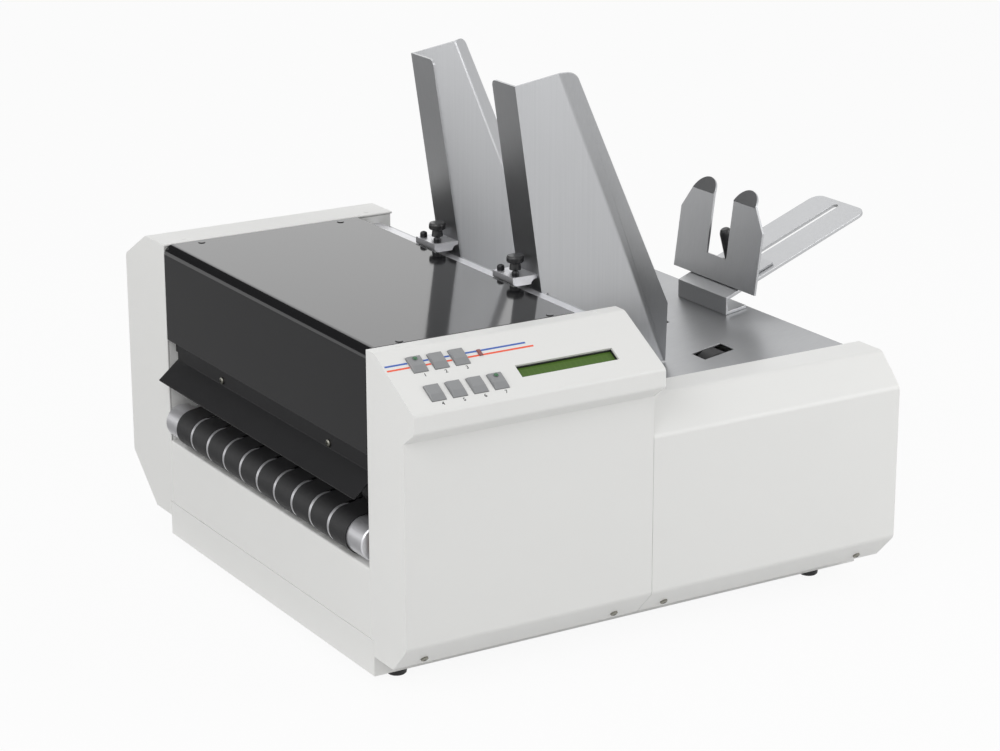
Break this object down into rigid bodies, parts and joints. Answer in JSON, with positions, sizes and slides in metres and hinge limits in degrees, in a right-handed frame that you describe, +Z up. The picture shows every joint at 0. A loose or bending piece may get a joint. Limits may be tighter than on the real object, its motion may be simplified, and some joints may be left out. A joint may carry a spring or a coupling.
{
  "type": "desktop envelope printer",
  "caption": "Desktop envelope printer with a white housing, hinged black cover, belt exit, operator console and an open hopper with sliding guides and a slotted rear support arm.",
  "frame": {"origin": "under the middle of the whole object, on the floor its feet stand on", "axes": "+X runs from the exit end to the hopper end, +Y from the operator side to the back, +Z up"},
  "size_m": [0.6012, 0.512, 0.4418],
  "materials": {
    "white_paint": "satin off-white powder coat",
    "stainless_sheet": "brushed stainless sheet",
    "bright_steel": "ground bright steel",
    "aluminium": "machined, light satin",
    "bronze": "sintered bronze",
    "black_rubber": "matt rubber",
    "gloss_black_sheet": "high-gloss black sheet",
    "matt_black_paint": "fine textured matt black",
    "motor_black": "black enamel",
    "black_steel": "black oxide",
    "black_plastic": "moulded matt black",
    "gloss_black_plastic": "moulded gloss black",
    "key_grey": "matt grey",
    "display_green": "backlit green window",
    "lamp_red": "dark red lens",
    "board_green": "green solder mask"
  },
  "bodies": {
    "housing": {"base_pan": "white_paint", "feet": "black_rubber", "front_cover_left": "white_paint", "front_cover_right": "white_paint", "rear_cover_left": "white_paint", "rear_cover_right": "white_paint", "side_plate_front": "white_paint", "side_plate_rear": "white_paint", "exit_end_panel": "white_paint", "hopper_end_panel": "white_paint", "feed_deck": "stainless_sheet", "cross_rail": "aluminium", "roller_bushes": "bronze", "transport_belts": "black_rubber", "platen": "stainless_sheet", "panel_screws": "bright_steel", "print_rods": "bright_steel", "cover_hinge_pins": "bright_steel", "exit_hood": "matt_black_paint", "hopper_plate": "stainless_sheet", "separator": "matt_black_paint", "support_arm": "stainless_sheet", "display": "display_green", "fault_lamp": "lamp_red", "control_board": "board_green", "drive_motor": "motor_black", "drive_belts": "black_rubber", "connector_blocks": "black_plastic"},
    "cover": {"top_cover": "gloss_black_sheet"},
    "exit_roller": {"exit_roller": "aluminium"},
    "infeed_roller": {"infeed_roller": "aluminium"},
    "hold_down": {"hold_down_shaft": "bright_steel", "hold_down_wheels": "black_rubber"},
    "feed_front": {"feed_shaft_front": "bright_steel", "feed_rollers_front": "black_rubber"},
    "feed_rear": {"feed_shaft_rear": "bright_steel", "feed_rollers_rear": "black_rubber"},
    "motor_pulley": {"motor_pulley": "aluminium"},
    "carriage": {"print_carriage": "black_plastic", "ink_cartridges": "gloss_black_plastic"},
    "guide_near": {"guide_near": "stainless_sheet", "clamp_block_near": "aluminium", "clamp_jaw_near": "aluminium", "clamp_screws_near": "black_steel"},
    "knob_near": {"clamp_knob_near": "black_plastic"},
    "guide_far": {"guide_far": "stainless_sheet", "clamp_block_far": "aluminium", "clamp_jaw_far": "aluminium", "clamp_screws_far": "black_steel"},
    "knob_far": {"clamp_knob_far": "black_plastic"},
    "backstop": {"backstop_fork": "stainless_sheet"},
    "backstop_knob": {"backstop_knob": "black_plastic"},
    "key_1": {"key_1": "key_grey"},
    "key_2": {"key_2": "key_grey"},
    "key_3": {"key_3": "key_grey"},
    "key_4": {"key_4": "key_grey"},
    "key_5": {"key_5": "key_grey"},
    "key_6": {"key_6": "key_grey"},
    "key_7": {"key_7": "key_grey"},
    "power_switch": {"power_switch": "gloss_black_plastic"}
  },
  "joints": [
    {"name": "cover_hinge", "type": "hinge", "parent": "housing", "child": "cover", "pos_m": [-0.11359, -0.00455, 0.263], "axis": [0, 1, 0], "range_deg": [0, 85]},
    {"name": "exit_roller_spin", "type": "hinge", "parent": "housing", "child": "exit_roller", "pos_m": [-0.27959, -0.00455, 0.11395], "axis": [0, -1, 0], "continuous": true},
    {"name": "infeed_roller_spin", "type": "hinge", "parent": "housing", "child": "infeed_roller", "pos_m": [-0.12159, -0.00455, 0.13908], "axis": [0, -1, 0], "continuous": true},
    {"name": "hold_down_spin", "type": "hinge", "parent": "housing", "child": "hold_down", "pos_m": [-0.26259, -0.00455, 0.14257], "axis": [0, -1, 0], "continuous": true},
    {"name": "feed_front_spin", "type": "hinge", "parent": "housing", "child": "feed_front", "pos_m": [-0.05359, -0.00455, 0.15187], "axis": [0, -1, 0], "continuous": true},
    {"name": "feed_rear_spin", "type": "hinge", "parent": "housing", "child": "feed_rear", "pos_m": [0.09241, -0.00455, 0.17369], "axis": [0, -1, 0], "continuous": true},
    {"name": "motor_spin", "type": "hinge", "parent": "housing", "child": "motor_pulley", "pos_m": [-0.19159, -0.00455, 0.06994], "axis": [0, -1, 0], "continuous": true},
    {"name": "guide_near_slide", "type": "slide", "parent": "housing", "child": "guide_near", "axis": [0, 1, 0], "range_m": [-0.07, 0.04]},
    {"name": "guide_far_slide", "type": "slide", "parent": "housing", "child": "guide_far", "axis": [0, 1, 0], "range_m": [-0.04, 0.07]},
    {"name": "knob_near_turn", "type": "hinge", "parent": "guide_near", "child": "knob_near", "pos_m": [-0.08659, -0.06805, 0.283], "axis": [0, 0, 1], "range_deg": [0, 360]},
    {"name": "knob_far_turn", "type": "hinge", "parent": "guide_far", "child": "knob_far", "pos_m": [-0.08659, 0.05895, 0.283], "axis": [0, 0, 1], "range_deg": [0, 360]},
    {"name": "carriage_slide", "type": "slide", "parent": "housing", "child": "carriage", "axis": [0, 1, 0], "range_m": [-0.11, 0.11]},
    {"name": "backstop_slide", "type": "slide", "parent": "housing", "child": "backstop", "axis": [0.9336, 0, 0.3584], "range_m": [0, 0.105]},
    {"name": "backstop_knob_turn", "type": "hinge", "parent": "backstop", "child": "backstop_knob", "pos_m": [0.18375, -0.00455, 0.22645], "axis": [-0.3584, 0, 0.9336], "range_deg": [0, 360]},
    {"name": "key_1_press", "type": "slide", "parent": "housing", "child": "key_1", "axis": [0, 0.4913, -0.871], "range_m": [0, 0.0015], "stiffness_N_per_m": 400, "springref_m": -0.0012},
    {"name": "key_2_press", "type": "slide", "parent": "housing", "child": "key_2", "axis": [0, 0.4913, -0.871], "range_m": [0, 0.0015], "stiffness_N_per_m": 400, "springref_m": -0.0012},
    {"name": "key_3_press", "type": "slide", "parent": "housing", "child": "key_3", "axis": [0, 0.4913, -0.871], "range_m": [0, 0.0015], "stiffness_N_per_m": 400, "springref_m": -0.0012},
    {"name": "key_4_press", "type": "slide", "parent": "housing", "child": "key_4", "axis": [0, 0.4913, -0.871], "range_m": [0, 0.0015], "stiffness_N_per_m": 400, "springref_m": -0.0012},
    {"name": "key_5_press", "type": "slide", "parent": "housing", "child": "key_5", "axis": [0, 0.4913, -0.871], "range_m": [0, 0.0015], "stiffness_N_per_m": 400, "springref_m": -0.0012},
    {"name": "key_6_press", "type": "slide", "parent": "housing", "child": "key_6", "axis": [0, 0.4913, -0.871], "range_m": [0, 0.0015], "stiffness_N_per_m": 400, "springref_m": -0.0012},
    {"name": "key_7_press", "type": "slide", "parent": "housing", "child": "key_7", "axis": [0, 0.4913, -0.871], "range_m": [0, 0.0015], "stiffness_N_per_m": 400, "springref_m": -0.0012},
    {"name": "power_switch_rock", "type": "hinge", "parent": "housing", "child": "power_switch", "pos_m": [0.17641, 0.06545, 0.068], "axis": [0, 0, 1], "range_deg": [0, 14]}
  ],
  "couplings": [
    {"joint": "infeed_roller_spin", "follows": "exit_roller_spin", "ratio": 1},
    {"joint": "hold_down_spin", "follows": "exit_roller_spin", "ratio": -1.8111},
    {"joint": "feed_front_spin", "follows": "exit_roller_spin", "ratio": 1},
    {"joint": "feed_rear_spin", "follows": "exit_roller_spin", "ratio": 1},
    {"joint": "motor_spin", "follows": "exit_roller_spin", "ratio": 1}
  ]
}
